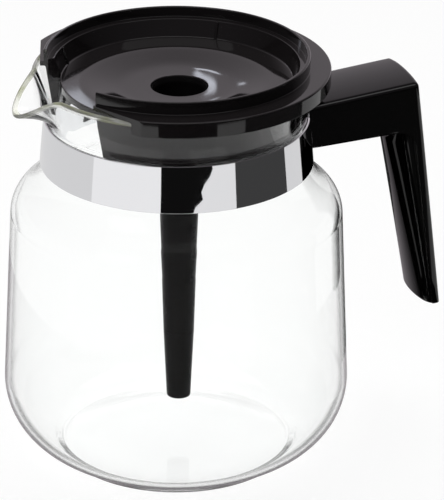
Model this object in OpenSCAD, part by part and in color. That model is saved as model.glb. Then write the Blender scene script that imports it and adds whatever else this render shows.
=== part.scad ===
// Glass coffee server: blown jug, clamped neck band and handle, lift-off brew-through lid with a mixing tube.
// Origin at the centre of the standing plane, on the jug's axis. +Z up, handle towards +X, spout towards -X.

/* [Glass jug] */
// Outer radius of the belly, the widest place
belly_r = 67.5; // [64:0.5:72]
// Height of the heel's lowest line above the standing plane
heel_lift = 2; // [1.6:0.1:5]
// Radius of the heel's curve, from the foot up to the belly
heel_r = 28; // [22:0.5:34]
// Outer radius of the standing foot
foot_r = 46.5; // [43:0.5:50]
// Width of the foot's standing face
foot_w = 3; // [2:0.5:6]
// How far the underside is raised inside the foot
foot_recess = 1.5; // [0.5:0.1:2]
// Lean of the side wall, inwards on the way up
side_tilt = 2.7; // [0:0.1:4]
// Height of the top of the side wall
side_z = 100; // [85:1:120]
// Radius of the shoulder's curve
shoulder_r = 13; // [11:0.5:18]
// Radius of the hollow curve between the shoulder and the neck
neck_fillet_r = 19.5; // [14:0.5:26]
// Outer radius at the foot of the neck
neck_r = 51.4; // [49:0.2:54]
// Lean of the neck under the band, inwards on the way up
neck_tilt = 5; // [2:0.5:7]
// Height of the flared neck above the band
flare_h = 17.4; // [15:0.2:22]
// How far the rim flares out beyond the top of the band
flare_out = 5.2; // [4:0.2:7]
// Thickness of the glass
glass_wall = 1.8; // [1.4:0.1:2.2]

/* [Spout] */
// How far the lip of the spout reaches out beyond the rim
spout_reach = 9; // [4:0.5:12]
// How far the lip of the spout drops below the rim
spout_drop = 10; // [4:0.5:11]
// Half of the angle that the spout takes up in the rim
spout_half_angle = 20; // [14:1:26]

/* [Neck band] */
// Height of the band
band_h = 18.3; // [16:0.5:22]
// Thickness of the band's strip
band_t = 0.7; // [0.4:0.1:1]
// How far the band's lower edge lies below the foot of the neck
band_drop = 2.6; // [1:0.2:3]
// Room between the band and the glass, taken up at the neck's curve
band_gap = 0.3; // [0.2:0.05:0.6]
// Height of the two tabs that go into the handle
tab_h = 11; // [8:0.5:13]
// Room between the hooked end of each tab and the screw
hook_clear = 0.4; // [0.2:0.05:1]

/* [Handle] */
// Width of the arm and of the top of the grip
handle_w = 30; // [26:0.5:34]
// Width of the grip at its tip
tip_w = 28.6; // [22:0.2:32]
// Height of the arm at the band
arm_h = 17.7; // [16:0.1:22]
// How far the arm's upper edge stands above the band
arm_over = 2.4; // [0:0.1:4]
// Length of the arm, from the foot of the neck to its outer end
arm_l = 42.6; // [34:0.2:56]
// Rise of the arm's upper face towards its end
arm_rise = 5.45; // [0:0.1:8]
// Rise of the arm's lower face towards its end
under_rise = 2.6; // [0:0.1:5]
// Lean of the grip's back, outwards on the way down
grip_lean = 7.4; // [2:0.2:10]
// Height of the grip's tip above the table
tip_z = 50; // [40:1:70]
// Depth of the grip below the arm
grip_depth = 12.3; // [9:0.1:16]
// Depth of the grip at its tip
tip_depth = 5.4; // [4.6:0.2:9]
// Length of the straight side of the grip's section beyond its rounded back edge, at the top
grip_side = 2.4; // [1:0.2:4]
// Radius of the rounded edges of the arm
edge_r = 2.2; // [1.5:0.1:2.8]
// Radius of the hollow curve between the arm and the grip
grip_fillet = 6; // [3:0.5:9]

/* [Clamp] */
// Radius of the clamp screw's shank
screw_r = 2; // [1.5:0.1:2.3]
// How far the block nut lies from the foot of the neck
nut_off = 7.6; // [5:0.2:10]
// Radius of the clamp screw's head
head_r = 3.8; // [3.2:0.1:4.2]
// Height of the clamp screw's head
head_h = 2.6; // [2:0.1:3.2]
// Outer radius of the washer
washer_r = 4.4; // [4:0.1:4.6]
// Thickness of the washer
washer_t = 0.8; // [0.5:0.1:1.2]
// Depth of the screw's counterbore, measured at the screw's axis
counterbore_l = 9; // [6:0.5:12]
// Width of the block nut
nut_w = 9; // [8:0.2:10]
// Height of the block nut
nut_h = 10; // [8:0.2:11]
// Length of the block nut along the screw
nut_l = 6; // [4:0.2:8]

/* [Lid] */
// Turn of the lid in the neck, from the spout's line
lid_turn = 6.3; // [-10:0.1:10]
// Thickness of the flange that rests on the rim
flange_t = 1.8; // [1.4:0.1:2.6]
// How far the flange reaches out beyond the glass rim
flange_over = 3.5; // [3:0.1:5]
// Height of the rim that hangs from the flange, with the flange
hang_h = 6.2; // [4:0.2:8]
// Thickness of the hanging rim
hang_t = 1.9; // [1.2:0.1:2.2]
// How far the raised ring lies inside the glass rim
ring_inset = 4.4; // [3.4:0.1:5.4]
// Thickness of the raised ring
ring_t = 1.4; // [1:0.1:1.8]
// Height of the raised ring above the flange
ring_h = 4.9; // [3:0.1:8]
// Width of the ledge inside the raised ring
ledge_w = 2.6; // [1.8:0.1:3.2]
// Height of that ledge above the flange
ledge_rise = 0.9; // [0.2:0.1:2]
// Depth of the dish's floor at its edge, below the flange
dish_depth = 5.9; // [4:0.1:8]
// Fall of the dish's floor from its edge to its hub
floor_fall = 3.8; // [2:0.2:5]
// Thickness of the dish's floor
floor_t = 2; // [1.6:0.1:2.6]
// How far the floor's edge lies inside the skirt's outer face
foot_inset = 2.9; // [2.5:0.1:4]
// How far the skirt reaches below the throat of the glass
skirt_drop = 4; // [2:0.5:8]
// Thickness of the skirt
skirt_t = 1.9; // [1.5:0.1:2.3]
// Room between the dish and the throat of the glass
lid_clear = 0.9; // [0.6:0.1:1.5]
// Half of the angle of the gap in the ring and the dish's wall
notch_angle = 27.5; // [22:0.5:32]
// Half of the angle of the notch at the flange's outer edge
notch_outer_angle = 51.6; // [45:0.2:58]
// Width of the four ribs on the dish's wall
rib_w = 1.2; // [0.8:0.1:2]
// Depth of the four ribs
rib_d = 0.7; // [0.4:0.1:1]

/* [Mixing tube] */
// Radius of the hole in the hub of the dish
hole_r = 10; // [9.4:0.1:10.8]
// How far the hub lies behind the lid's axis, away from the notch
hub_off = 1.1; // [0:0.1:2]
// Depth of the hub around the hole
hub_h = 8; // [6:0.5:10]
// Wall of the hub around the hole
hub_wall = 2.7; // [2:0.1:4]
// How far the tube's lip reaches out over the hole
lip_over = 0.7; // [0.5:0.1:1.2]
// Thickness of the tube's lip
lip_t = 1.2; // [0.8:0.1:1.6]
// How far the tube below the hub is set in from the hole
tube_step = 1.3; // [0.8:0.1:2]
// Outer radius of the tube at the joint
joint_r = 6; // [5.6:0.1:7]
// Outer radius of the tube at its lower end
tube_end_r = 4.7; // [4.5:0.1:5.4]
// Height of the joint above the table
joint_z = 48.7; // [40:0.5:70]
// Height of the tube's lower end above the table
tube_end_z = 20; // [12:0.5:30]
// Wall of the tube
tube_wall = 1.15; // [0.9:0.05:1.2]
// Length of the spigot that joins the two lengths of tube
spigot_l = 8; // [5:0.5:12]

/* [Hidden] */
$fn = 96;
// Facets of the rounded edges and steps of the curves
ball_fn = 24;
arc_steps = 10;
// Overrun of every cut, and the clearances of the fits
over = 20;
face_gap = 0.1;
lid_gap = 0.2;
turn_gap = 0.05;
thread_gap = 0.05;
press_gap = 0.05;

// Heights and radii that the glass gives to the other pieces
belly_z = heel_r + heel_lift;
heel_c = [belly_r - heel_r, belly_z];
foot_angle = -acos((foot_r - heel_c[0]) / heel_r);
side_foot = heel_c + heel_r * [cos(side_tilt), sin(side_tilt)];
side_top = [side_foot[0] - (side_z - side_foot[1]) * tan(side_tilt), side_z];
shoulder_c = side_top - shoulder_r * [cos(side_tilt), sin(side_tilt)];
neck_c_r = neck_r + neck_fillet_r * cos(neck_tilt);
neck_c_z = shoulder_c[1] + sqrt(pow(shoulder_r + neck_fillet_r, 2) - pow(neck_c_r - shoulder_c[0], 2));
neck_c = [neck_c_r, neck_c_z];
shoulder_turn = atan2(neck_c[1] - shoulder_c[1], neck_c[0] - shoulder_c[0]);
neck_z = neck_c[1] - neck_fillet_r * sin(neck_tilt);
band_z = neck_z - band_drop;
throat_z = band_z + band_h;
rim_z = throat_z + flare_h;
function neck_at(z) = neck_r - (z - neck_z) * tan(neck_tilt);
throat_r = neck_at(throat_z);
rim_r = throat_r + flare_out;

// The flared neck at angle a from the spout's line, as [radius, height], from u = 0 at the throat to 1 at the rim
flare_power = 1.5;
reach_power = 2;
drop_power = 1.5;
function bulge(a) = abs(a) < spout_half_angle ? (1 + cos(180 * a / spout_half_angle)) / 2 : 0;
function flare(a, u) = [
    throat_r + flare_out * pow(u, flare_power) + spout_reach * pow(bulge(a), 0.85) * pow(u, reach_power),
    throat_z + flare_h * u - spout_drop * bulge(a) * pow(u, drop_power)];
function unit(v) = v / norm(v);
function flare_along(a, u) = unit(flare(a, u) - flare(a, u - 1 / 64));
function flare_in(a, u) = flare(a, u) + glass_wall * [-flare_along(a, u)[1], flare_along(a, u)[0]];
function flare_lip(a) = (flare(a, 1) + flare_in(a, 1)) / 2 + flare_along(a, 1) * glass_wall / 2;
rim_top = flare_lip(180)[1];

// Heights and radii of the lid
flange_z = rim_top + lid_gap;
flange_top = flange_z + flange_t;
flange_r = rim_r + flange_over;
hang_z = flange_top - hang_h;
ring_z = flange_top + ring_h;
dish_z = flange_top - dish_depth;
dish_r = throat_r - glass_wall - lid_clear;
dish_foot_r = dish_r - foot_inset;
skirt_z = throat_z - skirt_drop;
skirt_in_r = dish_r - skirt_t;
hub_top = dish_z - floor_fall;
hub_bottom = hub_top - hub_h;
hub_r = hole_r + hub_wall;
lip_r = hole_r + lip_over;
seat_r = lip_r + hub_off + lip_over;
ring_r = rim_r - ring_inset;
ledge_r = ring_r - ring_t - ledge_w;
collar_r = ring_r - ring_t / 2;

// Lines of the handle and the clamp
arm_top_z = throat_z + arm_over;
arm_low_z = arm_top_z - arm_h;
arm_root_x = neck_r - band_h / 2;
arm_end_x = neck_r + arm_l;
function arm_top(x) = arm_top_z + (x - neck_r) * tan(arm_rise);
function arm_low(x) = arm_low_z + (x - neck_r) * tan(under_rise);
arm_end_z = arm_top(arm_end_x);
function back_x(z) = arm_end_x + (arm_end_z - z) * tan(grip_lean);
screw_z = (arm_top_z + arm_low_z) / 2;
band_out_gap = band_gap + band_t;
head_x = back_x(screw_z) - counterbore_l;
screw_head_x = head_x + washer_t + face_gap;
tab_y = nut_w / 2 + face_gap;
hook_reach = tab_y - screw_r - hook_clear;
nut_x = neck_r + nut_off;
screw_end_x = nut_x - nut_l / 4;
hook_x = nut_x + nut_l + face_gap;
pocket_x = hook_x + band_t + nut_l / 2;
pocket_half = tab_y + band_t + 4 * face_gap;
pocket_h = max(nut_h, tab_h) + 12 * face_gap;
counterbore_r = max(washer_r, head_r) + 3 * face_gap;

// Points along an arc of radius r about c, from angle a to angle b
function arc(c, r, a, b, n = arc_steps) =
    [for (i = [0:n]) c + r * [cos(a + (b - a) * i / n), sin(a + (b - a) * i / n)]];

// The jug's side from the foot to the throat, moved in by d
function jug_side(d, start) = concat(
    arc(heel_c, heel_r - d, start, side_tilt),
    arc(shoulder_c, shoulder_r - d, side_tilt, shoulder_turn),
    arc(neck_c, neck_fillet_r + d, 180 + shoulder_turn, 180 + neck_tilt),
    [[throat_r - d / cos(neck_tilt), throat_z]]);

// Closed section of the flared neck: up the outside, over the lip and down the inside
flare_rows = 7;
flare_shares = [for (i = [1:flare_rows]) pow(i / flare_rows, 1.15)];
root_drop = glass_wall / 2;
root_inset = glass_wall / 6;
root_out_r = throat_r - root_inset;
root_in_r = throat_r - glass_wall + root_inset;
function flare_section(a) = concat(
    [[root_out_r, throat_z - root_drop], [root_out_r, throat_z + root_inset]],
    [for (u = flare_shares) flare(a, u)],
    [flare_lip(a)],
    [for (i = [flare_rows - 1:-1:0]) flare_in(a, flare_shares[i])],
    [[root_in_r, throat_z + root_inset], [root_in_r, throat_z - root_drop]]);

// Angles of the sections, closer together in the spout
fine_half = spout_half_angle + 4;
fine_n = 16;
coarse_n = 40;
flare_angles = concat(
    [for (i = [0:fine_n]) -fine_half + 2 * fine_half * i / fine_n],
    [for (i = [1:coarse_n - 1]) fine_half + (360 - 2 * fine_half) * i / coarse_n]);

// A closed skin over rows of points; a loop of rows is closed on itself, and others get end caps
module skin(rows, looped) {
    m = len(rows);
    n = len(rows[0]);
    points = [for (row = rows) each row];
    spans = looped ? m : m - 1;
    sides = [for (j = [0:spans - 1], i = [0:n - 1])
        let (k = (j + 1) % m, l = (i + 1) % n)
        each [[j * n + i, k * n + l, j * n + l], [j * n + i, k * n + i, k * n + l]]];
    caps = looped ? [] : concat(
        [for (i = [1:n - 2]) [0, i, i + 1]],
        [for (i = [1:n - 2]) [(m - 1) * n, (m - 1) * n + i + 1, (m - 1) * n + i]]);
    polyhedron(points, concat(sides, caps), convexity = 6);
}

module flared_neck() {
    skin([for (a = flare_angles)
        [for (p = flare_section(a)) [p[0] * cos(180 - a), p[0] * sin(180 - a), p[1]]]], true);
}

module glass_jug() {
    inside = jug_side(glass_wall, -90);
    floor_in_z = heel_lift + glass_wall;
    foot_in_r = foot_r - foot_w;
    color("lightcyan", 0.4) union() {
        rotate_extrude() polygon(concat(
            [[0, foot_recess], [foot_in_r - foot_recess, foot_recess], [foot_in_r, 0], [foot_r, 0]],
            jug_side(0, foot_angle),
            [for (i = [len(inside) - 1:-1:0]) inside[i]],
            [[0, floor_in_z]]));
        flared_neck();
    }
}

// The strip of the band between two offsets from the glass
module neck_cone(inner, outer, z0, z1) {
    rotate_extrude() polygon([
        [neck_at(z0) + inner, z0], [neck_at(z0) + outer, z0],
        [neck_at(z1) + outer, z1], [neck_at(z1) + inner, z1]]);
}

module neck_band() {
    root_x = sqrt(pow(neck_at(screw_z) + band_gap, 2) - pow(tab_y + band_t, 2));
    color("silver") union() {
        difference() {
            neck_cone(band_gap, band_out_gap, band_z, throat_z);
            translate([0, -tab_y, band_z - over]) cube([arm_end_x, 2 * tab_y, band_h + 2 * over]);
        }
        for (side = [0, 1]) mirror([0, side, 0]) translate([0, tab_y, screw_z - tab_h / 2]) {
            translate([root_x, 0, 0]) cube([hook_x + band_t - root_x, band_t, tab_h]);
            translate([hook_x, -hook_reach, 0]) cube([band_t, hook_reach + band_t, tab_h]);
        }
    }
}

// The grip's section, a D with a flat back and a round inner side, at height z
corner_steps = 4;
round_steps = 24;
function grip_share(z) = max(0, arm_low_z - z) / (arm_low_z - tip_z);
function grip_half(z) = (handle_w + (tip_w - handle_w) * grip_share(z)) / 2;
function under_near(z) = max(0, min(1, 1 - (arm_low(back_x(z) - grip_depth) - z) / grip_fillet));
function fillet_at(z) = grip_fillet * (1 - sqrt(1 - pow(under_near(z), 2)));
function depth_at(z) = grip_depth + (tip_depth - grip_depth) * grip_share(z) + fillet_at(z);
function side_at(z) = edge_r + grip_side * min(1, depth_at(z) / grip_depth);
function grip_outline(z) =
    let (h = grip_half(z), d = depth_at(z), s = side_at(z))
    concat(
        arc([-edge_r, edge_r - h], edge_r, -90, 0, corner_steps),
        arc([-edge_r, h - edge_r], edge_r, 0, 90, corner_steps),
        [for (i = [0:round_steps]) [-s - (d - s) * sin(180 * i / round_steps), h * cos(180 * i / round_steps)]]);

// Sections down the grip, the last ones drawn in to round the tip
grip_rows = 16;
tip_rows = 5;
tip_round_share = 0.75;
tip_round = tip_depth * tip_round_share;
function drawn_in(row, z, k) = [for (p = row)
    [back_x(z) + (p[0] + depth_at(z) / 2) * k - depth_at(z) / 2, p[1] * k, z]];
function tip_row(i) =
    let (a = 90 * i / (tip_rows + 1), z = tip_z + tip_round * (1 - sin(a)))
    drawn_in(grip_outline(z), z, 1 - (1 - cos(a)) * tip_round / tip_w);

module grip() {
    top_z = arm_low_z + arm_h / 2;
    low_z = tip_z + tip_round;
    skin(concat(
        [for (i = [tip_rows:-1:1]) tip_row(i)],
        [for (i = [grip_rows:-1:0])
            let (z = top_z + (low_z - top_z) * i / grip_rows) drawn_in(grip_outline(z), z, 1)]), false);
}

module arm() {
    y = handle_w / 2 - edge_r;
    hull() for (side = [-1, 1]) {
        translate([arm_root_x, side * y, arm_top(arm_root_x) - edge_r]) sphere(edge_r, $fn = ball_fn);
        translate([arm_root_x, side * y, arm_low(arm_root_x) + edge_r]) sphere(edge_r, $fn = ball_fn);
        for (z = [arm_end_z - edge_r, arm_low(arm_end_x) + edge_r])
            translate([back_x(z) - edge_r / cos(grip_lean), side * y, z]) sphere(edge_r, $fn = ball_fn);
    }
}

// A cylinder along the screw's line between two distances from the jug's axis
module on_screw_line(x0, x1, r) {
    translate([x0, 0, screw_z]) rotate([0, 90, 0]) cylinder(h = x1 - x0, r = r);
}

module handle() {
    color([0.09, 0.09, 0.1]) difference() {
        union() {
            arm();
            grip();
        }
        neck_cone(-neck_r / 2, band_out_gap + face_gap, band_z - over, rim_z);
        translate([arm_root_x - over, -pocket_half, screw_z - pocket_h / 2])
            cube([pocket_x - arm_root_x + over, 2 * pocket_half, pocket_h]);
        on_screw_line(arm_root_x, arm_end_x, screw_r + 2 * face_gap);
        on_screw_line(head_x, arm_end_x + over, counterbore_r);
    }
}

module clamp_nut() {
    color("goldenrod") difference() {
        translate([nut_x, -nut_w / 2, screw_z - nut_h / 2]) cube([nut_l, nut_w, nut_h]);
        on_screw_line(nut_x - over, nut_x + nut_l + over, screw_r + thread_gap);
    }
}

module clamp_washer() {
    color("gainsboro") difference() {
        on_screw_line(head_x + face_gap / 2, head_x + washer_t, washer_r);
        on_screw_line(head_x - over, head_x + over, screw_r + face_gap);
    }
}

module clamp_screw() {
    slot_w = head_r / 4;
    slot_l = head_r * 1.1;
    color("lightgrey") difference() {
        union() {
            on_screw_line(screw_end_x, screw_head_x, screw_r);
            on_screw_line(screw_head_x, screw_head_x + head_h, head_r);
        }
        for (turn = [0, 90]) translate([screw_head_x + head_h / 2, 0, screw_z]) rotate([turn, 0, 0])
            translate([0, -slot_w / 2, -slot_l / 2]) cube([head_h, slot_w, slot_l]);
    }
}

// Half of the notch's plan, towards -X: the wall's gap, then the slanted cut of the flange
notch_half = ring_r * sin(notch_angle);
notch_corner = [-sqrt(pow(ring_r + ring_t, 2) - pow(notch_half + ring_t, 2)), notch_half + ring_t];
notch_outer = flange_r * [-cos(notch_outer_angle), sin(notch_outer_angle)];
notch_past = notch_outer + (notch_outer - notch_corner);

module notch() {
    half = [[-hub_r, 0], [-hub_r, notch_half], [notch_corner[0] + 2 * ring_t, notch_half], notch_corner,
            notch_past, [-2 * flange_r, notch_past[1]], [-2 * flange_r, 0]];
    translate([0, 0, skirt_z - over]) difference() {
        for (side = [0, 1]) mirror([0, side, 0]) linear_extrude(ring_z - skirt_z + 2 * over) polygon(half);
        translate([0, 0, -over]) cylinder(h = ring_z - skirt_z + 4 * over, r = dish_foot_r);
    }
}

module lid_body() {
    round_r = hang_t / 3;
    rotate_extrude() polygon(concat(
        [[0, hub_top - floor_t - lip_t], [seat_r, hub_top - floor_t - lip_t],
         [skirt_in_r, dish_z - floor_t], [skirt_in_r, skirt_z], [dish_r, skirt_z], [dish_r, throat_z],
         [collar_r, flange_z],
         [flange_r - hang_t, flange_z], [flange_r - hang_t, hang_z], [flange_r, hang_z]],
        arc([flange_r - round_r, flange_top - round_r], round_r, 0, 90, 3),
        [[ring_r, flange_top]],
        arc([ring_r - ring_t / 2, ring_z - ring_t / 2], ring_t / 2, 0, 180, 6),
        [[ring_r - ring_t, flange_top + ledge_rise], [ledge_r, flange_top + ledge_rise], [dish_foot_r, dish_z],
         [seat_r, hub_top], [0, hub_top]]));
}

module lid() {
    rib_top = flange_top + ledge_rise;
    rib_low = dish_z - floor_t / 2;
    color([0.1, 0.1, 0.1]) rotate([0, 0, lid_turn]) difference() {
        union() {
            lid_body();
            translate([hub_off, 0, hub_bottom]) cylinder(h = hub_h - lip_t, r = hub_r);
            for (turn = [45:90:315]) rotate([0, 0, turn]) translate([0, rib_w / 2, 0]) rotate([90, 0, 0])
                linear_extrude(rib_w) polygon([
                    [dish_foot_r - rib_d, rib_low], [dish_foot_r + ring_t / 2, rib_low],
                    [ledge_r + ring_t / 2, rib_top], [ledge_r - rib_d, rib_top]]);
        }
        notch();
        translate([hub_off, 0, hub_bottom - over]) cylinder(h = hub_h + 2 * over, r = hole_r);
        translate([hub_off, 0, hub_top - lip_t]) cylinder(h = over, r = lip_r + turn_gap);
    }
}

// The tube's place in the turned lid
module at_hub() {
    rotate([0, 0, lid_turn]) translate([hub_off, 0, 0]) children();
}

module mixing_tube() {
    shaft_r = hole_r - turn_gap;
    tube_r = hole_r - tube_step;
    spigot_r = joint_r - tube_wall - press_gap;
    lip_z = hub_top - lip_t + face_gap;
    lip_top = hub_top + lip_t / 2;
    color([0.13, 0.13, 0.13]) at_hub() rotate_extrude() polygon(concat(
        [[spigot_r - tube_wall, joint_z - spigot_l], [spigot_r, joint_z - spigot_l], [spigot_r, joint_z],
         [joint_r, joint_z], [tube_r, hub_bottom], [shaft_r, hub_bottom], [shaft_r, lip_z],
         [lip_r, lip_z], [lip_r, hub_top]],
        arc([lip_r - lip_over, hub_top], lip_top - hub_top, 90, 180, 4),
        [[shaft_r - tube_wall, hub_top - lip_t], [tube_r - tube_wall, hub_bottom], [joint_r - 2 * tube_wall, joint_z]]));
}

module tube_end() {
    socket_r = joint_r - tube_wall;
    socket_z = joint_z - spigot_l - face_gap;
    color([0.15, 0.15, 0.15]) at_hub() rotate_extrude() polygon([
        [tube_end_r - tube_wall, tube_end_z], [tube_end_r, tube_end_z], [joint_r, joint_z - face_gap],
        [socket_r, joint_z - face_gap], [socket_r, socket_z], [socket_r - tube_wall, socket_z]]);
}

glass_jug();
neck_band();
handle();
clamp_nut();
clamp_washer();
clamp_screw();
lid();
mixing_tube();
tube_end();
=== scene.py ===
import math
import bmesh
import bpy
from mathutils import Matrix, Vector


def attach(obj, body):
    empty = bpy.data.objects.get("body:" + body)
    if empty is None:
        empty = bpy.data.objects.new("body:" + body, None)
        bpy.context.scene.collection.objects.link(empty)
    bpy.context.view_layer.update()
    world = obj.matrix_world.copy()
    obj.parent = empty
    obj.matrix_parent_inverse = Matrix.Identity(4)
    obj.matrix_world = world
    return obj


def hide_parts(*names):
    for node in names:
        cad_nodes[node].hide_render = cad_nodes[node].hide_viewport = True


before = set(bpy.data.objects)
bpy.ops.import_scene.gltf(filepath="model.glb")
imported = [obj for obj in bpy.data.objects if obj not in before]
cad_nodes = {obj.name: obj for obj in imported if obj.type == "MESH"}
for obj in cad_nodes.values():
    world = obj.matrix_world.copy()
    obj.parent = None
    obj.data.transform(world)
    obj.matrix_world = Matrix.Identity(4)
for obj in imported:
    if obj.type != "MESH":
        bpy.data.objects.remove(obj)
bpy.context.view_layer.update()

# %% [markdown]
# # A glass coffee server, dressed for its picture
# The solids give every piece its place: a blown glass jug, a polished band around its neck, a black handle
# that the band's screw holds, and a dished lid with a long tube. Here the pieces that show are modelled again
# with finer edges, and each gets a finish. Everything below is worked out in millimetres, as on a drawing,
# and a piece is brought to metres only when it is done.

MM = 0.001
TURN = 2 * math.pi
ORIGIN, AXIS = (0, 0, 0), (0, 0, 1)
WIDE, NARROW = 288, 128  # steps of a full turn


def finished(bm, name, body, node, sharp=40):
    """Turn a bmesh in millimetres into a piece that stands for a CAD node and moves with its body."""
    bmesh.ops.scale(bm, vec=(MM, MM, MM), verts=bm.verts)
    mesh = bpy.data.meshes.new(name)
    bm.to_mesh(mesh)
    bm.free()
    mesh.shade_smooth()
    mesh.set_sharp_from_angle(angle=math.radians(sharp))
    piece = bpy.data.objects.new(name, mesh)
    bpy.context.scene.collection.objects.link(piece)
    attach(piece, body)
    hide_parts(node)
    even = piece.modifiers.new("even_shading", 'WEIGHTED_NORMAL')
    even.keep_sharp = True
    print(name, "has", len(mesh.polygons), "faces")
    return piece


# %% [markdown]
# ## Tools of the bench
# Most pieces are drawn as an outline, half of a section, and spun about the axis. A few small helpers keep
# that readable: one draws an arc, one rounds corners off, one spins. All of them work on a bmesh, which is
# Blender's mesh under construction.

# %% Drawing and spinning


def arc(centre, radius, start, end, steps):
    """Points of a drawn arc, as [distance from the axis, height]; the angles are in degrees."""
    turns = [math.radians(start + (end - start) * i / steps) for i in range(steps + 1)]
    return [[centre[0] + radius * math.cos(t), centre[1] + radius * math.sin(t)] for t in turns]


def outline(points, closed=False):
    """A drawn outline in the XZ plane, ready to be spun about the axis."""
    bm = bmesh.new()
    verts = [bm.verts.new((r, 0, z)) for r, z in points]
    for a, b in zip(verts, verts[1:]):
        bm.edges.new((a, b))
    if closed:
        bm.edges.new((verts[-1], verts[0]))
    return bm


def softened(bm, geom, radius, segments, affect='EDGES', **more):
    """Round edges or corners off."""
    bmesh.ops.bevel(bm, geom=geom, offset=radius, segments=segments, profile=0.5, affect=affect, material=-1,
                    **more)


def rounded_outline(corners, closed=True):
    """An outline whose corners each have a radius of their own: [distance, height, radius]."""
    bm = outline([c[:2] for c in corners], closed)
    for vert, corner in zip(bm.verts[:], corners):
        if corner[2]:
            softened(bm, [vert], corner[2], 4, 'VERTICES')
    return bm


def swept(bm, angle, steps, whole=False):
    """Spin everything in the bmesh about the axis; a whole turn meets its own start."""
    bmesh.ops.spin(bm, geom=bm.verts[:] + bm.edges[:], cent=ORIGIN, axis=AXIS, dvec=ORIGIN,
                   angle=angle, steps=steps, use_merge=whole, use_duplicate=False)


def spun(bm, steps):
    """Spin everything in the bmesh one full turn, and close its seam and poles."""
    swept(bm, TURN, steps, whole=True)
    bmesh.ops.remove_doubles(bm, verts=bm.verts, dist=0.0005)
    bmesh.ops.recalc_face_normals(bm, faces=bm.faces)
    return bm


# %% Boxes, slices and turns


def block(bm, size, middle):
    """Add a plain box to a bmesh."""
    verts = bmesh.ops.create_cube(bm, size=1)["verts"]
    bmesh.ops.scale(bm, vec=size, verts=verts)
    bmesh.ops.translate(bm, vec=middle, verts=verts)


def sliced(bm, places, direction):
    """Cut a bmesh at these places along a direction, and keep both sides of every cut."""
    for place in places:
        bmesh.ops.bisect_plane(bm, geom=bm.verts[:] + bm.edges[:] + bm.faces[:], dist=0.0001,
                               plane_co=Vector(direction) * place, plane_no=direction)


def rotated(bm, verts, angle, axis='Z'):
    """Turn some points about one of the main axes."""
    bmesh.ops.rotate(bm, verts=verts, cent=ORIGIN, matrix=Matrix.Rotation(angle, 3, axis))


def unit(value):
    """A value held between 0 and 1."""
    return min(1, max(0, value))


# %% [markdown]
# ## The jug
# The jug is blown into a mould, so its body is round: a foot, a full heel, sides that lean in a little,
# a shoulder and a neck. An outline spun about the axis gives all of that, wall and all. The foot is as thin
# as the rest of the wall: a solid foot would catch the light inside it and show as a dark ring.

# %% The jug's lines
belly_r, belly_z, heel_r = 67.5, 30, 28
foot_r, foot_w, recess, wall = 46.5, 3, 1.5, 1.8
side_tilt, side_z, shoulder_r, neck_fillet_r = 2.7, 100, 13, 19.5  # tilts are in degrees
neck_r, neck_tilt, flare_h, flare_out = 51.4, 5, 17.4, 5.2
band_drop, band_h = 2.6, 18.3

tilt = math.radians(side_tilt)
lean = math.tan(math.radians(neck_tilt))
heel_c = (belly_r - heel_r, belly_z)
side_low = (heel_c[0] + heel_r * math.cos(tilt), belly_z + heel_r * math.sin(tilt))
side_high = (side_low[0] - (side_z - side_low[1]) * math.tan(tilt), side_z)
shoulder_c = (side_high[0] - shoulder_r * math.cos(tilt), side_z - shoulder_r * math.sin(tilt))
neck_c_r = neck_r + neck_fillet_r * math.cos(math.radians(neck_tilt))
neck_c_up = math.sqrt((shoulder_r + neck_fillet_r) ** 2 - (neck_c_r - shoulder_c[0]) ** 2)
neck_c = (neck_c_r, shoulder_c[1] + neck_c_up)
turn = math.degrees(math.atan2(neck_c[1] - shoulder_c[1], neck_c[0] - shoulder_c[0]))
neck_z = neck_c[1] - neck_fillet_r * math.sin(math.radians(neck_tilt))
band_z = neck_z - band_drop
throat_z = band_z + band_h


def neck_at(z):
    """The neck's outer radius at a height below its flare."""
    return neck_r - (z - neck_z) * lean


throat_r = neck_at(throat_z)
print("the throat is", round(throat_r, 2), "mm from the axis, at", round(throat_z, 2), "mm")

# %% The wall and the foot
heel_start_r = foot_r + 3.5
foot_angle = -math.degrees(math.acos((heel_start_r - heel_c[0]) / heel_r))


def jug_side(d):
    """The wall's line from the heel to the throat, d inside the outer face."""
    return (arc(heel_c, heel_r - d, foot_angle, side_tilt, 28)
            + arc(shoulder_c, shoulder_r - d, side_tilt, turn, 16)
            + arc(neck_c, neck_fillet_r + d, 180 + turn, 180 + neck_tilt, 18))


tread_r = 2
dome_steps = [i / 12 for i in range(13)]
dome = [[(foot_r - foot_w) * t, recess * (1 + math.cos(math.pi * t ** 3)) / 2] for t in dome_steps]
tread = arc((foot_r - 1.7, tread_r), tread_r, -90, -45, 5) + [[foot_r + 1.6, 2.3]]
tread_inside = [[foot_r - 1.5, 1.9], [foot_r + 0.4, 3.6]]
below_neck = dome + tread + jug_side(0)
inside = [[r, z + wall] for r, z in dome] + tread_inside + jug_side(wall)
print("the heel starts", round(-foot_angle, 1), "degrees below the belly's line")

# %% [markdown]
# The spout is pulled out of the soft rim by hand. It could be sculpted, but it is simpler to spin the neck as
# if it had no spout, and then to move its rim out and down near the spout's line. Each point remembers how
# high up the neck it is and how deep in the wall, so that the wall keeps its thickness where the rim is pulled.

# %% The neck and its spout
spout_reach, spout_drop, spout_half = 9, 10, 20  # the half width is in degrees
flare_bend, spout_bend, spout_full = 1.5, 2, 0.85


def flare(angle, u):
    """The neck's outer face, as [distance, height], at a share u of its height."""
    w = (1 + math.cos(math.pi * angle / spout_half)) / 2 if abs(angle) < spout_half else 0
    return Vector((throat_r + flare_out * u ** flare_bend + spout_reach * w ** spout_full * u ** spout_bend,
                   throat_z + flare_h * u - spout_drop * w * u ** flare_bend))


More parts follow.
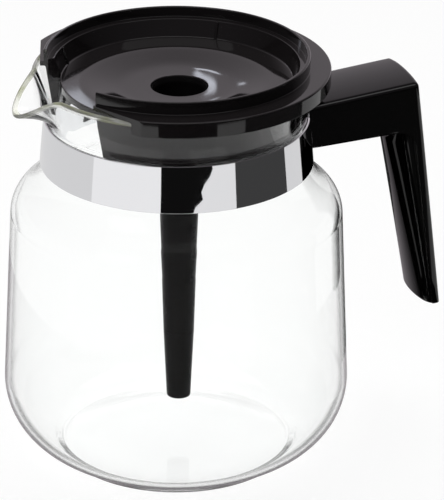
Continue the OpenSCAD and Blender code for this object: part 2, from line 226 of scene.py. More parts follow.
def neck_point(angle, u, depth):
    """A point of the neck: depth is 0 at the outer face and 1 at the inner one, over a round lip at the top."""
    along = (flare(angle, u + 0.01) - flare(angle, max(u - 0.01, 0))).normalized()
    inward = Vector((-along[1], along[0]))
    middle = flare(angle, u) + inward * wall / 2
    swing = math.pi * depth
    crown = math.sin(swing) if u == 1 else 0
    return middle - inward * math.cos(swing) * wall / 2 + along * crown * wall / 2


neck_rows, lip_steps = 22, 8
rows = [((i + 1) / neck_rows) ** 1.1 for i in range(neck_rows)]
lip = [(1, i / lip_steps) for i in range(1, lip_steps)]
neck_line = [(u, 0) for u in rows] + lip + [(u, 1) for u in reversed(rows)]
print("the neck's line has", len(neck_line), "points")

# %% The jug, spun and pulled
bm = outline(below_neck + [[0, 0]] * len(neck_line) + inside[::-1])
height = bm.verts.layers.float.new("height")
depth = bm.verts.layers.float.new("depth")
verts = bm.verts[:]
for vert, (u, d) in zip(verts[len(below_neck):], neck_line):
    r, z = neck_point(180, u, d)
    vert.co = (r, 0, z)
    vert[height], vert[depth] = u, d
foot_bends = [verts[len(dome + tread) - 1], verts[-len(dome) - 1], verts[-len(dome) - 2]]
softened(bm, foot_bends, 1.2, 5, 'VERTICES', clamp_overlap=True)
spun(bm, WIDE)
for vert in bm.verts:
    if vert[height] > 0:
        angle = math.degrees(math.atan2(vert.co.y, -vert.co.x))
        at = Vector((vert.co.x, vert.co.y)).normalized()
        r, z = neck_point(angle, vert[height], vert[depth])
        vert.co = (at.x * r, at.y * r, z)
bmesh.ops.recalc_face_normals(bm, faces=bm.faces)
jug = finished(bm, "jug_glass", "jug", "glass_jug", sharp=70)

# %% [markdown]
# ## The band
# A strip of polished steel is wrapped around the neck, and its two ends are folded into tabs that go inside
# the handle. A thin outline with softened edges, spun almost all the way round, makes the strip: the soft
# edge is what catches the bright line along its top. The tabs are two bent plates.

# %% The band and its tabs
band_gap, band_t, band_steps = 0.3, 0.7, 300
arm_over, arm_h = 2.4, 17.7
nut_half, tab_h, hook_x, hook_w = 4.6, 11, 65.1, 2.9
screw_z = throat_z + arm_over - arm_h / 2
low, high = neck_at(band_z) + band_gap, neck_at(throat_z) + band_gap
bm = rounded_outline([[low, band_z, 0], [low + band_t, band_z, 0.25], [high + band_t, throat_z, 0.3],
                      [high, throat_z, 0]])
opening = math.asin(nut_half / high)
rotated(bm, bm.verts, opening)
swept(bm, TURN - 2 * opening, band_steps)
bmesh.ops.holes_fill(bm, edges=[e for e in bm.edges if e.is_boundary])
root_x = math.sqrt((neck_at(screw_z) + band_gap) ** 2 - (nut_half + band_t) ** 2)
tab_end = hook_x + band_t
for side in (-1, 1):
    block(bm, (tab_end - root_x, band_t, tab_h), ((tab_end + root_x) / 2, side * (nut_half + band_t / 2), screw_z))
    block(bm, (band_t, hook_w, tab_h), (hook_x + band_t / 2, side * (nut_half + band_t - hook_w / 2), screw_z))
bmesh.ops.recalc_face_normals(bm, faces=bm.faces)
band = finished(bm, "band_strip", "jug", "neck_band")

# %% [markdown]
# ## The handle
# The handle is one black moulding: a square arm, and a grip with a flat strip at its back and a round bulge
# where the fingers go. It could be box-modelled in one go, but the three forms are plain on their own, so each
# is made from a cube: bevels round its edges, and slices let the grip taper, lean and flow into the arm.
# A boolean then joins them and cuts the seat on the band, the pocket of the tabs and the screw's hole.

# %% Lines of the handle
handle_half, tip_half = 15, 14.3
arm_top_z = throat_z + arm_over
arm_low_z = arm_top_z - arm_h
arm_start, arm_end, grip_top, grip_tip = 42, 94, arm_low_z + 9, 50
rise, under, back_lean = (math.tan(math.radians(a)) for a in (5.45, 2.6, 7.4))
arm_end_z = arm_top_z + (arm_end - neck_r) * rise


def back_x(z):
    """The handle's leaning back."""
    return arm_end + (arm_end_z - z) * back_lean


def baked(bm, name, cutters, operation='DIFFERENCE'):
    """A bmesh after boolean work with other bmeshes, all in millimetres."""
    made = []
    for i, shape in enumerate([bm] + cutters):
        mesh = bpy.data.meshes.new(f"{name}_{i}")
        shape.to_mesh(mesh)
        shape.free()
        made.append(bpy.data.objects.new(mesh.name, mesh))
        bpy.context.scene.collection.objects.link(made[-1])
    for cutter in made[1:]:
        cut = made[0].modifiers.new("cut", 'BOOLEAN')
        cut.operation, cut.object, cut.solver = operation, cutter, 'EXACT'
    ready = made[0].evaluated_get(bpy.context.evaluated_depsgraph_get())
    result = bmesh.new()
    result.from_mesh(ready.to_mesh())
    ready.to_mesh_clear()
    for thing in made:
        bpy.data.meshes.remove(thing.data)
    print(name, "comes out of its cuts with", len(result.faces), "faces")
    return result


# %% The arm
crown, crown_bend, arm_round = 1.6, 2.2, 1.7
arm = bmesh.new()
bmesh.ops.create_cube(arm, size=2)
for vert in arm.verts:
    x = arm_start if vert.co.x < 0 else arm_end
    z = arm_top_z + (x - neck_r) * rise if vert.co.z > 0 else arm_low_z + (x - neck_r) * under
    vert.co = (back_x(z) if vert.co.x > 0 else x, vert.co.y * handle_half, z)
softened(arm, arm.edges[:], arm_round, 6)
sliced(arm, (-13, -12, -10, -8, -6, -3, 0, 3, 6, 8, 10, 12, 13), (0, 1, 0))
for vert in arm.verts:
    up_share = unit((vert.co.z - arm_low_z) / arm_h)
    vert.co.z += crown * up_share * (1 - (abs(vert.co.y) / handle_half) ** crown_bend)
print("the arm ends", round(arm_end_z, 1), "mm up")

# %% Helpers for the grip


def unit_bar():
    """A bar of unit size with its back at x = 0."""
    bm = bmesh.new()
    block(bm, (1, 1, 1), (-0.5, 0, 0))
    return bm


def upright(bm, deep, half):
    """Bring a unit bar to its depth, width and height; its back stays at x = 0."""
    bmesh.ops.scale(bm, vec=(deep, 2 * half, grip_top - grip_tip), verts=bm.verts)
    bmesh.ops.translate(bm, vec=(0, 0, (grip_top + grip_tip) / 2), verts=bm.verts)


def long_edges(bm, inner):
    """A bar's upright edges, on its inner side or at its back."""
    middle = min(v.co.x for v in bm.verts) / 2
    return [e for e in bm.edges if abs(e.verts[0].co.z - e.verts[1].co.z) > 0.5
            and all((v.co.x < middle) == inner for v in e.verts)]


def leaned(bm, full, tip_full, widen, fillet):
    """Cut an upright bar into slices, and let it taper, lean with the back and flow into the arm."""
    sliced(bm, [56, 66, 76, 86, 96, 106] + [112 + 0.6 * i for i in range(25)], AXIS)
    for vert in bm.verts:
        z = vert.co.z
        down = max(0, arm_low_z - z) / (arm_low_z - grip_tip)
        near = unit(1 - (arm_low_z + (back_x(z) - full - neck_r) * under - z) / fillet_r)
        deep = full + (tip_full - full) * down + fillet * (1 - math.sqrt(1 - near * near))
        vert.co.x += back_x(z) - (deep - full) * unit((-vert.co.x - back_flat) / (full - back_flat))
        vert.co.y *= 1 + (widen - 1) * down
    return bm


# %% The grip
strip, strip_tip, strip_fillet = 4.3, 3.6, 9
bulge, bulge_end, bulge_half, bulge_tip_half = 12.3, 6.9, 12.8, 13.8
fillet_r, back_flat, plump, sunk, raised = 6, 2, 1.3, 1.2, 0.1
strip_round, bulge_round, tip_round, tip_zone = 0.9, 0.64, 0.5, grip_tip + 0.3
strip_bar = unit_bar()
upright(strip_bar, strip, handle_half)
softened(strip_bar, long_edges(strip_bar, True), strip_round, 4)
softened(strip_bar, long_edges(strip_bar, False), arm_round, 5)

bulge_bar = unit_bar()
bmesh.ops.scale(bulge_bar, vec=(1, plump, 1), verts=bulge_bar.verts)
softened(bulge_bar, long_edges(bulge_bar, True), bulge_round, 16)
bmesh.ops.scale(bulge_bar, vec=(1, 1 / plump, 1), verts=bulge_bar.verts)
upright(bulge_bar, bulge, bulge_half)
for vert in bulge_bar.verts:  # sunk into the strip, so that no two faces of theirs coincide
    vert.co.x, vert.co.z = min(vert.co.x, -sunk), max(vert.co.z, grip_tip + raised)

grips = []
for bar, full, tip_full, widen, fillet in (
        (strip_bar, strip, strip_tip, tip_half / handle_half, strip_fillet),
        (bulge_bar, bulge, bulge_end, bulge_tip_half / bulge_half, fillet_r)):
    softened(bar, [e for e in bar.edges if all(v.co.z < tip_zone for v in e.verts)], tip_round, 4)
    grips.append(leaned(bar, full, tip_full, widen, fillet))
print("the grip is", round(arm_end_z - grip_tip, 1), "mm long at its back")

# %% The handle, joined and cut
seat_low, seat_high, seat_gap = band_z - 20, throat_z + 18, 1.1
seat = spun(outline([[0, seat_low], [neck_at(seat_low) + seat_gap, seat_low],
                     [neck_at(seat_high) + seat_gap, seat_high], [0, seat_high]]), 256)
pocket = bmesh.new()
pocket_l, pocket_end = 33, hook_x + 3.7
block(pocket, (pocket_l, 11.4, 12.2), (pocket_end - pocket_l / 2, 0, screw_z))
shank_hole, head_hole = (2.2, 50, 92), (4.7, back_x(screw_z) - 9, arm_end + 20)  # radius, start and end
drills = []
for radius, start, end in (shank_hole, head_hole):
    drill = bmesh.new()
    bmesh.ops.create_cone(drill, cap_ends=True, segments=48, radius1=radius, radius2=radius, depth=end - start)
    rotated(drill, drill.verts, math.pi / 2, 'Y')
    bmesh.ops.translate(drill, vec=((start + end) / 2, 0, screw_z), verts=drill.verts)
    drills.append(drill)
whole = baked(arm, "handle_join", grips, 'UNION')
whole = baked(whole, "handle_cut", [seat, pocket] + drills)
bmesh.ops.remove_doubles(whole, verts=whole.verts, dist=0.01)
bmesh.ops.dissolve_degenerate(whole, edges=whole.edges, dist=0.0005)
handle = finished(whole, "handle_shell", "jug", "handle", sharp=32)

# %% [markdown]
# ## The lid
# The lid is a moulded dish. Its flange rests on the rim, a raised ring locates it under the brewer, a skirt goes
# down into the neck, and its floor falls to a hole a little off the middle. One outline holds nearly all of
# that; every corner of it is softened before it is spun, because the thin bright lines on a black moulding are
# its rounded edges. The floor is nearly flat at its outside, falls half-way in, and is nearly flat again around
# the hole, so that what it mirrors changes from the outside to the hole in soft steps.

# %% Heights and radii of the lid
lid_turn = math.radians(6.3)
hub_off, lid_wall, ring_wall, floor_t = 1.1, 1.9, 1.4, 2
rim_top = neck_point(180, 1, 0.5)[1]
rim_r = throat_r + flare_out
flange_z = rim_top + 0.2
flange_top = flange_z + 1.8
flange_r = rim_r + 3.5
ring_r, ring_top, hang_z = rim_r - 4.4, flange_top + 4.9, flange_top - 6.2
ledge_r, ledge_z = ring_r - 4, flange_top + 0.9
skirt_r, skirt_z = throat_r - wall - 0.9, throat_z - 4
floor_r, floor_z = skirt_r - 2.9, flange_top - 5.9
seat_r, hub_low, hole_r, lip_r = 12.5, floor_z - 11.8, 10, 10.7
print("the lid is", round(2 * flange_r, 1), "mm wide and", round(ring_top - skirt_z, 1), "mm high")

# %% The lid's floor and outline
floor_steps, flat_slope, more_slope = 32, 0.02, 0.18


def eased(value, start, end):
    """0 before the start, 1 after the end, and a smooth way between."""
    share = unit((value - start) / (end - start))
    return share * share * (3 - 2 * share)


floor_line, hub_edge = [], floor_z
for i in range(1, floor_steps + 1):
    t = (i - 0.5) / floor_steps
    slope = flat_slope + more_slope * eased(t, 0.2, 0.4) * (1 - eased(t, 0.58, 0.82))
    hub_edge -= slope * (floor_r - seat_r) / floor_steps
    floor_line.append([floor_r + (seat_r - floor_r) * i / floor_steps, hub_edge, 0])
hub_top = hub_edge - 0.6
under_z = hub_top - 3.2
dish = spun(rounded_outline([
    [0, under_z, 0], [seat_r, under_z, 0.5],
    [skirt_r - lid_wall, floor_z - floor_t, 0.6], [skirt_r - lid_wall, skirt_z, 0.3],
    [skirt_r, skirt_z, 0.5], [skirt_r, throat_z, 1],
    [ring_r - 0.7, flange_z, 0.5], [flange_r - lid_wall, flange_z, 0.4],
    [flange_r - lid_wall, hang_z, 0.3], [flange_r, hang_z, 0.35],
    [flange_r, flange_top, 0.7], [ring_r, flange_top, 0.25],
    [ring_r, ring_top, 0.5], [ring_r - ring_wall, ring_top, 0.5],
    [ring_r - ring_wall, ledge_z, 0.25], [ledge_r, ledge_z, 0.25],
    [floor_r, floor_z, 0.5]] + floor_line + [[0, hub_edge, 0]], closed=False), WIDE)
print("the floor falls", round(floor_z - hub_edge, 2), "mm")

# %% [markdown]
# The hub stands off the axis, so it can't be part of that outline. It is a short sleeve of its own, joined to the
# dish by a boolean; two more cut the hole, with a seat for the tube's lip, and the notch that leaves the spout
# free. The notch is a prism with a round core taken out of it, so that it clears the wall and spares the floor.
# Four small ribs stand on the inside of the wall.

# %% The hub and its hole
hub_r, lip_t, lip_room, over = hole_r + 2.7, 1.2, lip_r + 0.05, 9


def turned(points, steps, shift=0):
    """A solid of revolution with a drawn outline, moved along X."""
    bm = spun(outline(points), steps)
    bmesh.ops.translate(bm, vec=(shift, 0, 0), verts=bm.verts)
    return bm


sleeve_top = hub_top - 1.4
sleeve = turned([[0, hub_low], [hub_r - 0.3, hub_low], [hub_r, hub_low + 0.3], [hub_r, sleeve_top],
                 [0, sleeve_top]], NARROW, hub_off)
bore = turned([[0, hub_low - over], [hole_r, hub_low - over], [hole_r, hub_top - lip_t],
               [lip_room, hub_top - lip_t], [lip_room, hub_top], [lip_r + 0.15, hub_edge - 0.25],
               [lip_r + 0.4, hub_edge], [lip_r + 0.4, hub_edge + over], [0, hub_edge + over]], NARROW, hub_off)
dish = baked(dish, "lid_hub", [sleeve], 'UNION')

# %% The notch
notch_start, notch_half, notch_end = -13, 23.5, -120
notch_h, notch_side, crisp_angle = 60, -30, math.radians(50)
corner, outer_corner = (-45.9, 24.9), (-36.5, 46)
past = [2 * outer_corner[i] - corner[i] for i in (0, 1)]
plan = [(notch_start, notch_half), (corner[0] + 2.8, notch_half), corner, past, (notch_end, past[1])]
plan += [(x, -y) for x, y in reversed(plan)]
notch = bmesh.new()
base = notch.faces.new([notch.verts.new((x, y, skirt_z - over)) for x, y in plan])
lift = bmesh.ops.extrude_face_region(notch, geom=[base])["geom"]
bmesh.ops.translate(notch, vec=(0, 0, notch_h), verts=[v for v in lift if isinstance(v, bmesh.types.BMVert)])
bmesh.ops.recalc_face_normals(notch, faces=notch.faces)
core_low, core_high = skirt_z - over - 10, ring_top + over + 20
core = turned([[0, core_low], [floor_r, core_low], [floor_r, core_high], [0, core_high]], WIDE)
notch = baked(notch, "notch_core", [core])
dish = baked(dish, "lid_cuts", [bore, notch])
bmesh.ops.remove_doubles(dish, verts=dish.verts, dist=0.003)
crisp = [e for e in dish.edges if len(e.link_faces) == 2 and e.calc_face_angle(0) > crisp_angle
         and e.verts[0].co.x < notch_side]
softened(dish, crisp, 0.18, 2, offset_type='WIDTH', clamp_overlap=True)

# %% The ribs
rib_half_d, rib_half_w = 0.8, 0.6
for i in range(4):
    rib = bmesh.ops.create_cube(dish, size=2)["verts"]
    edges = list({e for v in rib for e in v.link_edges})
    for vert in rib:
        wall_r, z = (ledge_r, ledge_z - 0.1) if vert.co.z > 0 else (floor_r, floor_z - 1)
        vert.co = (wall_r + 0.1 + rib_half_d * vert.co.x, rib_half_w * vert.co.y, z)
    rotated(dish, rib, TURN / 8 + i * TURN / 4)
    softened(dish, edges, 0.25, 2)
bmesh.ops.dissolve_degenerate(dish, edges=dish.edges, dist=0.0005)
rotated(dish, dish.verts, lid_turn)
lid = finished(dish, "lid_dish", "lid", "lid", sharp=42)

# %% [markdown]
# ## The tube
# The tube carries fresh coffee down to the bottom of the jug, so that the whole jug mixes. It is moulded in
# two lengths that push together, and the joint shows as a fine line. Both lengths are spun outlines, moved to
# the hub's place in the turned lid.

# %% Both lengths of the tube
joint_z, end_z, skin, plug = 48.7, 20, 1.15, 8
top_r, joint_r, end_r = 8.7, 6, 4.7
sleeve_r = hole_r - 0.05
hub = Matrix.Rotation(lid_turn, 3, 'Z') @ Vector((hub_off, 0, 0))
upper = spun(rounded_outline([
    [3.65, joint_z - plug, 0.2], [4.8, joint_z - plug, 0.2], [4.8, joint_z, 0], [joint_r, joint_z, 0.25],
    [top_r, hub_low, 0.4], [sleeve_r, hub_low, 0.3], [sleeve_r, hub_top - 1.1, 0], [lip_r, hub_top - 1.1, 0.1],
    [lip_r, hub_top - 0.2, 0.1], [10.5, hub_top, 0.15], [9.5, hub_top - 1.4, 0.5], [8.9, hub_top - 4.2, 1],
    [top_r - skin, hub_low, 1], [3.7, joint_z, 0]]), NARROW)
lower = spun(rounded_outline([
    [end_r - skin, end_z, 0.3], [end_r, end_z, 0.3], [joint_r, joint_z - 0.1, 0.25], [4.85, joint_z - 0.1, 0.15],
    [4.85, joint_z - plug - 0.1, 0.1], [3.7, joint_z - plug - 0.1, 0.1]]), NARROW)
for length in (upper, lower):
    bmesh.ops.translate(length, vec=hub, verts=length.verts)
tube_upper = finished(upper, "tube_upper", "tube", "mixing_tube")
tube_lower = finished(lower, "tube_lower", "tube", "tube_end")

# %% [markdown]
# ## Finishes
# Each finish is a Principled shader with a little of the real thing's unevenness: blown glass is slightly
# wavy, the polished strip has faint drawing lines, moulded plastic has a fine grain and varies in gloss.
# All patterns sit on Object coordinates, so they stay on the piece when it moves.

# %% Helpers for nodes


def fill(node, values):
    """Set a node's inputs by their names."""
    for name, value in values.items():
        node.inputs[name].default_value = value


def ranged(tree, value, start, end, low=0, high=1):
    """A value brought from one range to another."""
    node = tree.nodes.new("ShaderNodeMapRange")
    fill(node, {"From Min": start, "From Max": end, "To Min": low, "To Max": high})
    tree.links.new(value, node.inputs["Value"])
    return node.outputs["Result"]


def ramped(tree, value, stops):
    """A colour that changes along a ramp; a stop is a place and a grey or a colour."""
    node = tree.nodes.new("ShaderNodeValToRGB")
    ramp = node.color_ramp.elements
    while len(ramp) < len(stops):
        ramp.new(1)
    for element, (position, colour) in zip(ramp, stops):
        element.position = position
        element.color = colour if isinstance(colour, tuple) else (colour, colour, colour, 1)
    tree.links.new(value, node.inputs["Fac"])
    return node.outputs["Color"]


def combined(tree, operation, first, second):
    """Two values taken together by a math node."""
    node = tree.nodes.new("ShaderNodeMath")
    node.operation = operation
    tree.links.new(first, node.inputs[0])
    tree.links.new(second, node.inputs[1])
    return node.outputs[0]


def mixed(tree, share, first, second):
    """Two shaders, mixed by a share."""
    node = tree.nodes.new("ShaderNodeMixShader")
    for socket, value in zip(node.inputs, (share, first, second)):
        tree.links.new(value, socket)
    return node.outputs[0]


# %% A helper for uneven finishes


class Finish:
    """A material, its shader, and ways to make it uneven on the piece's own coordinates."""

    def __init__(self, name, values):
        self.material = bpy.data.materials.new(name)
        self.material.use_nodes = True
        self.tree = self.material.node_tree
        self.shader = self.tree.nodes["Principled BSDF"]
        self.place = self.tree.nodes.new("ShaderNodeTexCoord").outputs["Object"]
        fill(self.shader, values)

    def noise(self, scale, stretch=(1, 1, 1), detail=3):
        mapping = self.tree.nodes.new("ShaderNodeMapping")
        texture = self.tree.nodes.new("ShaderNodeTexNoise")
        fill(mapping, {"Scale": stretch})
        fill(texture, {"Scale": scale, "Detail": detail})
        self.tree.links.new(self.place, mapping.inputs["Vector"])
        self.tree.links.new(mapping.outputs["Vector"], texture.inputs["Vector"])
        return texture.outputs["Fac"]

    def rough(self, noise, low, high):
        """Let the roughness wander between two values."""
        self.tree.links.new(ranged(self.tree, noise, 0.3, 0.7, low, high), self.shader.inputs["Roughness"])

    def bump(self, noise, strength, distance):
        node = self.tree.nodes.new("ShaderNodeBump")
        fill(node, {"Strength": strength, "Distance": distance})
        self.tree.links.new(noise, node.inputs["Height"])
        self.tree.links.new(node.outputs["Normal"], self.shader.inputs["Normal"])


# %% [markdown]
# Clear glass shows mostly by its edges. Where the eye looks along the wall, the real glass goes dark from the long
# path through it and from the dark things it mirrors; that shade is painted into the glass's colour, which turns
# from clear to
# grey there: Facing says how steep the look is. The painted grey is darkest round the heel and fades out at the
# neck.
# The rim was softened in a flame and has a faint green; the light that gathers in it is painted on as pale streaks,
# a finish of its own.

# %% Glass
GLASS_IOR, RAMP_HEIGHT = 1.48, 0.16
glass = Finish("clear_glass", {"Transmission Weight": 1, "IOR": GLASS_IOR, "Specular Tint": (0.15, 0.15, 0.15, 1)})
glass.rough(glass.noise(30), 0.0, 0.008)
glass.bump(glass.noise(14, (1, 1, 0.5), 1), 0.012, 0.002)
tree = glass.tree
split = tree.nodes.new("ShaderNodeSeparateXYZ")
tree.links.new(glass.place, split.inputs[0])
up_jug = ranged(tree, split.outputs["Z"], 0, RAMP_HEIGHT)
# painted shade: the grey the glass's colour takes where the look is slanted, darkest round the heel
painted_edge_shade = ramped(tree, up_jug, ((0.01, 0.1), (0.05, 0.05), (0.09, 0.12), (0.2, 0.28), (0.65, 0.3), (0.8, 0.75)))
# painted shade round the foot, added whatever the slant
painted_foot_shade = ramped(tree, up_jug, ((0.12, 0.08), (0.22, 0)))
slant = tree.nodes.new("ShaderNodeLayerWeight")
fill(slant, {"Blend": 0.5})
slanted = combined(tree, 'ADD', slant.outputs["Facing"], painted_foot_shade)
blend = tree.nodes.new("ShaderNodeMix")
blend.data_type = 'RGBA'
fill(blend, {"A": (0.995, 1, 0.997, 1)})
tree.links.new(ranged(tree, slanted, 0.79, 0.87), blend.inputs["Factor"])
tree.links.new(painted_edge_shade, blend.inputs["B"])
tree.links.new(blend.outputs["Result"], glass.shader.inputs["Base Color"])

rim_glass = Finish("rim_glass", {"Transmission Weight": 0.6, "IOR": GLASS_IOR})
# partly the glass's own faint green, partly painted light: pale streaks stand for the light gathered in the rim
painted_rim_light = ramped(rim_glass.tree, rim_glass.noise(90, (1, 1, 3), 2),
                 ((0.38, (0.62, 0.64, 0.46, 1)), (0.58, (0.98, 0.98, 0.94, 1))))
rim_glass.tree.links.new(painted_rim_light, rim_glass.shader.inputs["Base Color"])
rim_glass.rough(rim_glass.noise(60), 0.05, 0.12)
rim_glass.bump(rim_glass.noise(40, detail=1), 0.02, 0.001)

# %% Polished steel, plain steel and brass
chrome = Finish("polished_strip", {"Base Color": (0.83, 0.83, 0.85, 1), "Metallic": 1})
chrome.rough(chrome.noise(60, (1, 1, 14)), 0.02, 0.05)
chrome.bump(chrome.noise(34, (1, 1, 0.35), 2), 0.06, 0.002)

steel = Finish("plain_steel", {"Base Color": (0.6, 0.6, 0.61, 1), "Metallic": 1})
steel.rough(steel.noise(900), 0.22, 0.4)
steel.bump(steel.noise(2400), 0.1, 0.0001)

brass = Finish("turned_brass", {"Base Color": (0.72, 0.55, 0.26, 1), "Metallic": 1})
brass.rough(brass.noise(700, (6, 1, 1)), 0.2, 0.38)
brass.bump(brass.noise(1800, (6, 1, 1)), 0.1, 0.0001)

# %% Black mouldings


def moulding(name, colour, gloss, grain, level=0.5):
    """A black plastic: gloss is the range of its roughness, grain the depth of its fine texture."""
    plastic = Finish(name, {"Base Color": colour, "IOR": 1.5, "Specular IOR Level": level})
    plastic.rough(plastic.noise(120, detail=5), *gloss)
    plastic.bump(plastic.noise(2600, detail=2), grain, 0.0001)
    return plastic


handle_black = moulding("handle_black", (0.0014, 0.0012, 0.0013, 1), (0.06, 0.1), 0.006)
lid_black = moulding("lid_black", (0.011, 0.0095, 0.01, 1), (0.04, 0.08), 0.015)
tube_black = moulding("tube_black", (0.003, 0.0027, 0.0028, 1), (0.25, 0.35), 0.05, 0.05)

# %% Finishes on the pieces
rim_start = 0.94  # as a share of the neck's height
for piece, finish in ((jug, glass), (band, chrome), (handle, handle_black), (lid, lid_black),
                      (tube_upper, tube_black), (tube_lower, tube_black), (cad_nodes["clamp_nut"], brass),
                      (cad_nodes["clamp_screw"], steel), (cad_nodes["clamp_washer"], steel)):
    piece.data.materials.clear()
    piece.data.materials.append(finish.material)
jug.data.materials.append(rim_glass.material)
up_neck = jug.data.attributes["height"].data
for polygon in jug.data.polygons:
    polygon.material_index = int(all(up_neck[v].value > rim_start for v in polygon.vertices))
print("finishes are on", len(bpy.data.materials), "materials")

# %% [markdown]
# ## The studio
# The server stands on a pale floor in white surroundings. Black plastic and polished steel are only as good
# as what they mirror, so that is arranged apart from the white that the camera sees. A light path tells rays
# apart: the camera, straight or through glass, sees white; mirrored rays see a darker room with a bright wall
# behind the server. Cards and soft boxes, seen by mirrored rays alone, do the rest: light and dark strips give
# the band its upright stripes, a box overhead greys the lid, a dark flag keeps the grip black, and two small
# cards with soft edges put the highlights on the lid's floor.

# %% Camera
azimuth, elevation, roll = (math.radians(a) for a in (-19.861, 24.512, 0.51))
distance, aside, aim_z = 1.36133, 0.01774, 0.08263
front = Vector((math.sin(azimuth), -math.cos(azimuth), 0))
back = front * math.cos(elevation) + Vector((0, 0, math.sin(elevation)))
right = Vector((math.cos(azimuth), math.sin(azimuth), 0))
up = back.cross(right)
target = right * aside + Vector((0, 0, aim_z))
rolled = Matrix.Rotation(roll, 3, back) @ Matrix((right, up, back)).transposed()
camera = bpy.data.objects.new("camera", bpy.data.cameras.new("camera"))
camera.data.lens = 252
camera.data.sensor_width = 36
camera.matrix_world = Matrix.Translation(target + back * distance) @ rolled.to_4x4()
bpy.context.scene.collection.objects.link(camera)
bpy.context.scene.camera = camera
print("the camera is at", [round(c, 3) for c in camera.location])

# %% Helpers for the studio


def staged(bm, name, material, rays):
    """A piece of the studio: only the named kinds of ray see it."""
    mesh = bpy.data.meshes.new(name)
    bm.to_mesh(mesh)
    bm.free()
    thing = bpy.data.objects.new(name, mesh)
    bpy.context.scene.collection.objects.link(thing)
    mesh.materials.append(material)
    for kind in ("camera", "diffuse", "glossy", "transmission", "shadow"):
        setattr(thing, "visible_" + kind, kind in rays)
    return thing


def seen(tree):
    """1 for a ray from the camera, straight or through glass, and 0 for any other."""
    path = tree.nodes.new("ShaderNodeLightPath").outputs
    return combined(tree, 'MAXIMUM', path["Is Camera Ray"], path["Is Transmission Ray"])


# %% Floor
glow_share = 0.78
floor_white = Finish("floor_white", {"Base Color": (0.82, 0.82, 0.82, 1), "Roughness": 0.9, "Specular IOR Level": 0})
tree = floor_white.tree
glow_white = tree.nodes.new("ShaderNodeEmission")
fill(glow_white, {"Strength": 1.1})
share = ranged(tree, seen(tree), 0, 1, 0, glow_share)
lit = mixed(tree, share, floor_white.shader.outputs[0], glow_white.outputs[0])
tree.links.new(lit, tree.nodes["Material Output"].inputs["Surface"])
bm = bmesh.new()
floor_half, floor_gap = 4, 0.0002
bmesh.ops.create_grid(bm, x_segments=1, y_segments=1, size=floor_half)
bmesh.ops.translate(bm, vec=(0, 0, -floor_gap), verts=bm.verts)
staged(bm, "floor", floor_white.material, ("camera", "diffuse", "transmission", "shadow"))
print("the floor is", 2 * floor_half, "m wide")

# %% World
wall_from, wall_full, room_level = 0.4, 0.75, 0.015
sky_from, sky_full, sky_level = 0.05, 0.35, 0.12
wall_dims = ((0.15, 0.35), (0.38, 1), (0.64, 0.43))
world = bpy.data.worlds.new("studio")
bpy.context.scene.world = world
world.use_nodes = True
tree = world.node_tree
soft = tree.nodes["Background"]
white, mirrored = (tree.nodes.new("ShaderNodeBackground") for _ in range(2))
fill(soft, {"Strength": 0.55})
fill(mirrored, {"Color": (1, 0.92, 0.98, 1)})
direction = tree.nodes.new("ShaderNodeTexCoord").outputs["Generated"]
behind = tree.nodes.new("ShaderNodeVectorMath")
behind.operation = 'DOT_PRODUCT'
behind.inputs[1].default_value = -front
tree.links.new(direction, behind.inputs[0])
split = tree.nodes.new("ShaderNodeSeparateXYZ")
tree.links.new(direction, split.inputs[0])
rising = split.outputs["Z"]
fade = ranged(tree, behind.outputs["Value"], wall_from, wall_full, room_level, 1)
dim = ramped(tree, ranged(tree, rising, -0.5, 0.5), wall_dims)
wall_light = combined(tree, 'MULTIPLY', fade, dim)
sky_light = ranged(tree, rising, sky_from, sky_full, 0, sky_level)
tree.links.new(combined(tree, 'ADD', wall_light, sky_light), mirrored.inputs["Strength"])
path = tree.nodes.new("ShaderNodeLightPath").outputs
unseen = mixed(tree, path["Is Glossy Ray"], soft.outputs[0], mirrored.outputs[0])
tree.links.new(mixed(tree, seen(tree), unseen, white.outputs[0]), tree.nodes["World Output"].inputs["Surface"])
print("the world has", len(tree.nodes), "nodes")

# %% [markdown]
# The band is a drum of mirror, so strips of card in a ring around it come out as upright stripes. In the photo
# one stripe has a wavy edge, as from a crumpled card; moving the points of that edge sideways gives the same.

# %% Cards for the band


def glow(name, strength, colour=(1, 1, 1, 1)):
    """A material that only shines."""
    material = bpy.data.materials.new(name)
    material.use_nodes = True
    nodes = material.node_tree.nodes
    nodes.remove(nodes["Principled BSDF"])
    light = nodes.new("ShaderNodeEmission")
    fill(light, {"Strength": strength, "Color": colour})
    material.node_tree.links.new(light.outputs[0], nodes["Material Output"].inputs["Surface"])
    return material


card_r, card_steps, wavy_edge = 0.13, 24, 18
strips = [(-165, -59, 0.74), (-59, -9.5, 0.95), (-9.5, wavy_edge, 0.005), (wavy_edge, 41, 0.85), (41, 86, 0.05),
          (86, 112, 0.75), (112, 165, 0.04)]  # from and to, in degrees from the camera, and how bright
wave = {0.04: -7, 0.1: -7, 0.104: -5, 0.107: 0, 0.11: -1, 0.113: 1, 0.116: 5, 0.119: 7, 0.122: 6, 0.13: 6}
for i, (start, end, strength) in enumerate(strips):
    bm = bmesh.new()
    post = [bm.verts.new(front * card_r + Vector((0, 0, z))) for z in wave]
    for low, high in zip(post, post[1:]):
        bm.edges.new((low, high))
    rotated(bm, bm.verts, math.radians(start))
    swept(bm, math.radians(end - start), card_steps)
    for vert in bm.verts:
        turned_by = math.degrees(front.xy.angle_signed(vert.co.xy))
        if abs(-turned_by - wavy_edge) < 0.01:
            shift = wave[min(wave, key=lambda z: abs(z - vert.co.z))]
            vert.co.rotate(Matrix.Rotation(math.radians(shift), 3, 'Z'))
    staged(bm, f"card_{i}", glow(f"card_{i}", strength), ("glossy",))
print("the band mirrors", len(strips), "cards")

# %% Soft boxes for lid and grip


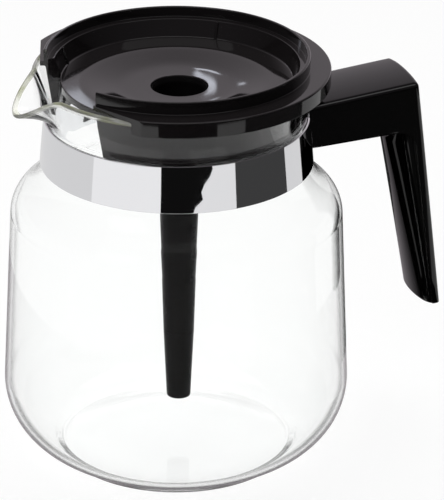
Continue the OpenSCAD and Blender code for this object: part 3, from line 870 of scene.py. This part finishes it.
def soft_box(name, centre, facing, size, strength):
    """A plain card that faces a direction."""
    bm = bmesh.new()
    bmesh.ops.create_grid(bm, x_segments=1, y_segments=1, size=0.5)
    bmesh.ops.scale(bm, vec=(size[0], size[1], 1), verts=bm.verts)
    bmesh.ops.rotate(bm, verts=bm.verts, cent=ORIGIN, matrix=facing.to_track_quat('-Z', 'Y').to_matrix())
    bmesh.ops.translate(bm, vec=centre, verts=bm.verts)
    staged(bm, name, glow(name, strength), ("glossy",))


lid_middle, to_grip = Vector((0, 0, 0.15)), Vector((1, 0, 0))
above = (front * 0.3 + Vector((0, 0, 1))).normalized()
soft_box("top_box", lid_middle + above * 0.8, -above, (1.1, 0.3), 1.3)
soft_box("grip_flag", Vector((0.0755, 0, 0.0745)), to_grip, (0.044, 0.089), 0)
soft_box("grip_line", Vector((0.076, -0.002, 0.0795)), to_grip, (0.004, 0.075), 0.4)

# %% Small cards for the highlights on the lid's floor
cool = (0.88, 0.9, 1, 1)


def soft_card(name, corners, strength, core):
    """A many-sided card whose light fades out between its core and its edge."""
    bm = bmesh.new()
    share = bm.verts.layers.float.new("share")
    corners = [Vector(c) for c in corners]
    middle = sum(corners, Vector()) / len(corners)
    edge, inner = ([bm.verts.new(middle + (c - middle) * size) for c in corners] for size in (1, core))
    for vert in inner:
        vert[share] = 1
    bm.faces.new(inner)
    for i in range(len(corners)):
        bm.faces.new((edge[i - 1], edge[i], inner[i], inner[i - 1]))
    material = glow(name, strength, cool)
    tree = material.node_tree
    fading, clear = tree.nodes.new("ShaderNodeAttribute"), tree.nodes.new("ShaderNodeBsdfTransparent")
    fading.attribute_name = "share"
    faded = mixed(tree, fading.outputs["Fac"], clear.outputs[0], tree.nodes["Emission"].outputs[0])
    tree.links.new(faded, tree.nodes["Material Output"].inputs["Surface"])
    staged(bm, name, material, ("glossy",))


soft_card("notch_light", ((-0.0023, 0.1469, 0.2136), (0.0097, 0.1455, 0.2122), (0.0103, 0.1253, 0.2103),
                          (0.0063, 0.1184, 0.2146), (-0.0083, 0.1275, 0.2145)), 2.6, 0.75)
soft_card("hub_light", ((0.034, 0.0826, 0.1845), (0.0371, 0.0854, 0.1844), (0.0391, 0.0853, 0.1869),
                        (0.0416, 0.0841, 0.1865), (0.0426, 0.0807, 0.186), (0.0424, 0.0763, 0.1851),
                        (0.041, 0.0717, 0.1842), (0.0387, 0.0685, 0.1834), (0.0363, 0.0679, 0.183),
                        (0.0362, 0.0731, 0.1847)), 3.8, 0.74)

# %% [markdown]
# Two soft lamps light the floor and what isn't mirror: one overhead, one from the left. Neither is mirrored, and
# the glass throws no shade, because light goes through it.

# %% Lamps
lamp_aim = Vector((0, 0, 0.08))
for name, place, size, power in (("overhead", (0.1, 0.25, 1.1), 0.9, 9), ("left_fill", (-0.9, -0.5, 0.7), 0.6, 4)):
    lamp = bpy.data.objects.new(name, bpy.data.lights.new(name, 'AREA'))
    lamp.data.size, lamp.data.energy = size, power
    lamp.location = place
    lamp.rotation_euler = (lamp_aim - Vector(place)).to_track_quat('-Z', 'Y').to_euler()
    lamp.visible_glossy = False
    bpy.context.scene.collection.objects.link(lamp)
jug.visible_shadow = False
bpy.context.scene.view_settings.view_transform = 'Standard'
